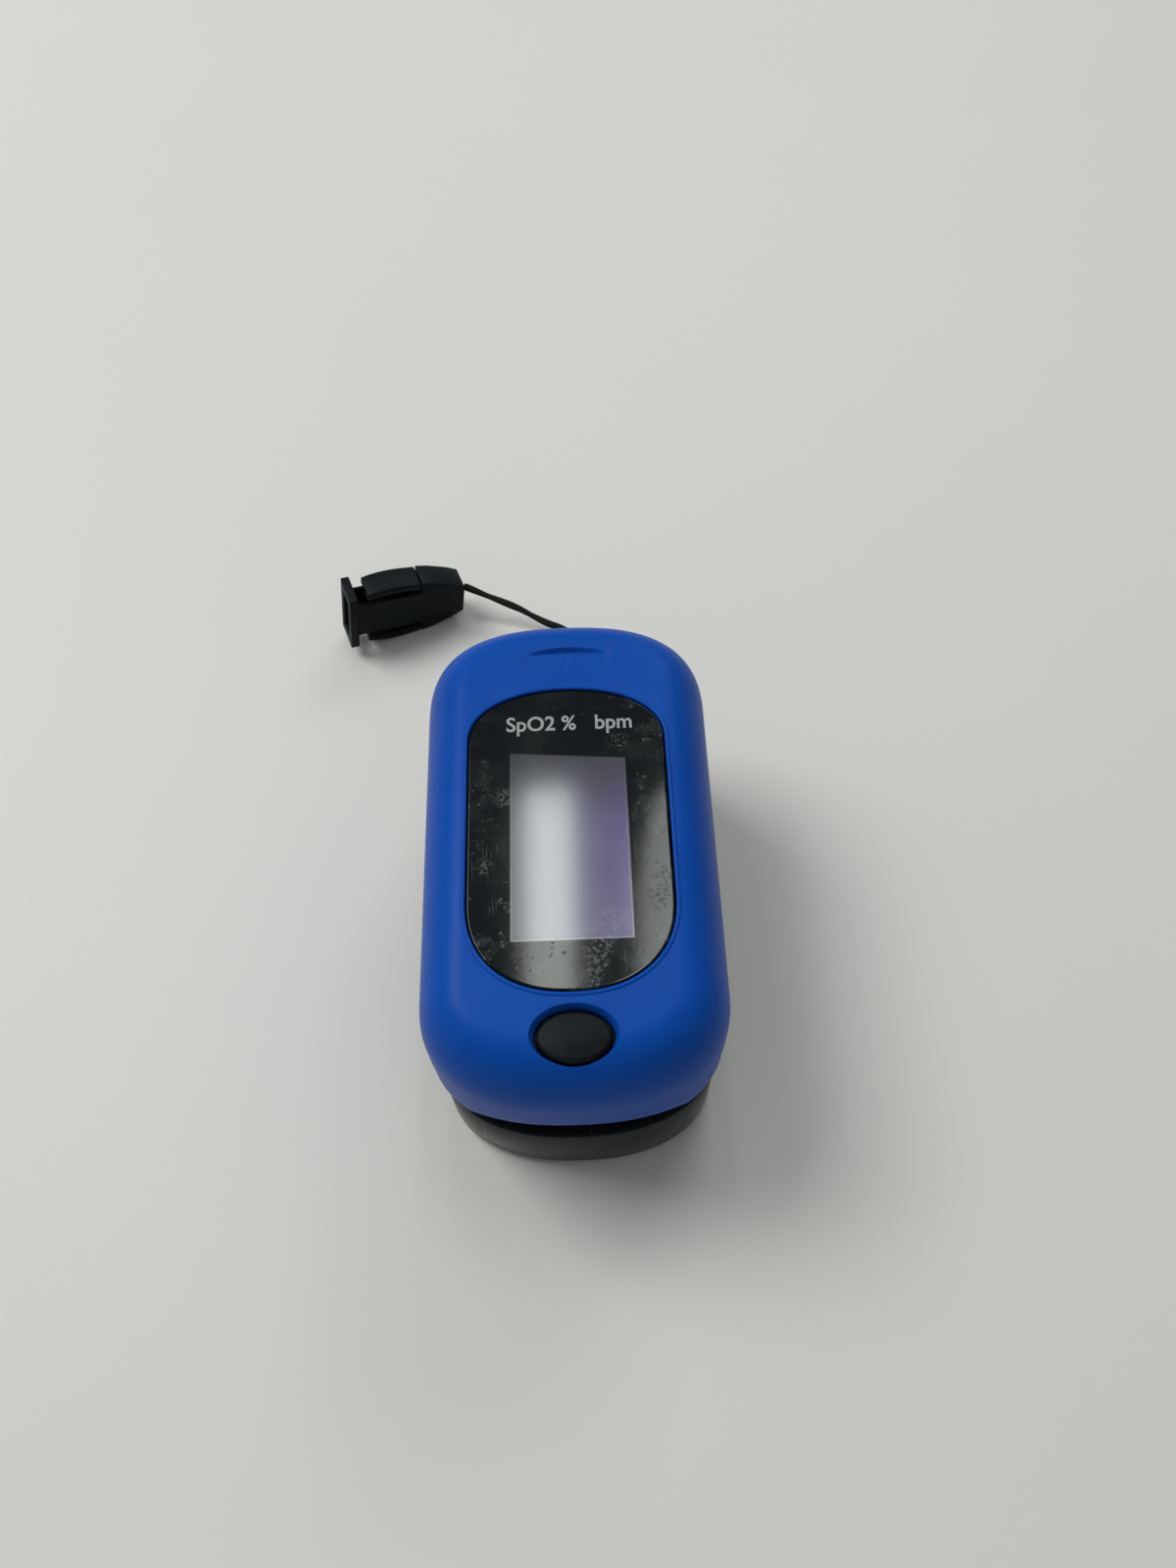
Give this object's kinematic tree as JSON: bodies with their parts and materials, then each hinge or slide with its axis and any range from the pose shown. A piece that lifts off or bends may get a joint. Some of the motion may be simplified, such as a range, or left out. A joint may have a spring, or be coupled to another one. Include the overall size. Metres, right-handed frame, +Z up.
{
  "type": "fingertip pulse oximeter",
  "caption": "Fingertip pulse oximeter: a sprung clip with a smoked window over its display, an oval power button, a battery door underneath and a short lanyard cord with a side-squeeze clasp.",
  "frame": {"origin": "centre of the device's footprint on the surface it lies on, without its lanyard", "axes": "+Z up out of the display window, -Y out of the finger opening, +X to the wearer's right, +Y towards the hinge and the lanyard"},
  "size_m": [0.0518, 0.0897, 0.034],
  "materials": {
    "blue_shell": "glossy moulded blue, light handling marks",
    "grey_shell": "glossy moulded dark grey",
    "window": "polished smoked window",
    "gasket_foam": "black foam tape",
    "display": "dark display glass",
    "circuit_board": "green solder mask",
    "chip_epoxy": "moulded epoxy",
    "steel": "plated steel",
    "black_plastic": "fine satin black",
    "pad_rubber": "soft silicone",
    "clear_resin": "tinted clear resin",
    "cell_jacket": "printed film jacket",
    "flex_film": "amber polyimide film",
    "cord_fibre": "twisted black cord"
  },
  "bodies": {
    "lower_half": {"lower_shell": "grey_shell", "lower_inner_cover": "black_plastic", "lower_finger_pad": "pad_rubber", "detector_board": "circuit_board", "photodiode": "chip_epoxy", "flex_cable": "flex_film", "battery_left": "cell_jacket", "battery_right": "cell_jacket", "front_contact_bridge": "steel", "rear_contact_minus": "steel", "rear_contact_plus": "steel", "battery_spring_front": "steel", "battery_spring_rear": "steel", "hinge_pin": "steel", "torsion_spring_left": "steel", "torsion_spring_right": "steel", "lanyard_cord": "cord_fibre", "clasp_body": "black_plastic", "lower_screw_1": "steel", "lower_screw_2": "steel"},
    "upper_half": {"top_cover": "blue_shell", "display_window": "window", "window_gasket": "gasket_foam", "display_panel": "display", "main_board": "circuit_board", "controller_chip": "chip_epoxy", "timing_crystal": "steel", "charge_inductor": "chip_epoxy", "display_connector": "black_plastic", "tact_switch": "black_plastic", "upper_inner_cover": "black_plastic", "upper_finger_pad": "pad_rubber", "emitter_board": "circuit_board", "emitter_led": "clear_resin", "upper_screw_1": "steel", "upper_screw_2": "steel", "upper_screw_3": "steel", "upper_screw_4": "steel"},
    "power_button": {"power_button": "black_plastic", "switch_plunger": "black_plastic"},
    "battery_door": {"battery_door": "grey_shell"},
    "clasp_arm_upper": {"clasp_arm_upper": "black_plastic"},
    "clasp_arm_lower": {"clasp_arm_lower": "black_plastic"}
  },
  "joints": [
    {"name": "clip_hinge", "type": "hinge", "parent": "lower_half", "child": "upper_half", "pos_m": [0, 0.014, 0.016], "axis": [-1, 0, 0], "range_deg": [0, 22], "stiffness_Nm_per_rad": 0.15, "springref_deg": -11.46, "deforming": ["torsion_spring_left", "torsion_spring_right", "flex_cable"]},
    {"name": "power_button_press", "type": "slide", "parent": "upper_half", "child": "power_button", "axis": [0, 0, -1], "range_m": [0, 0.0004], "stiffness_N_per_m": 600},
    {"name": "battery_door_slide", "type": "slide", "parent": "lower_half", "child": "battery_door", "axis": [0, -1, 0], "range_m": [0, 0.055]},
    {"name": "clasp_arm_upper_squeeze", "type": "hinge", "parent": "lower_half", "child": "clasp_arm_upper", "pos_m": [-0.02223, 0.05517, 0.01039], "axis": [0.3453, -0.9385, 0], "range_deg": [0, 2], "stiffness_Nm_per_rad": 0.3},
    {"name": "clasp_arm_lower_squeeze", "type": "hinge", "parent": "lower_half", "child": "clasp_arm_lower", "pos_m": [-0.02378, 0.0546, 0.00022], "axis": [-0.3453, 0.9385, 0], "range_deg": [0, 2], "stiffness_Nm_per_rad": 0.3}
  ]
}
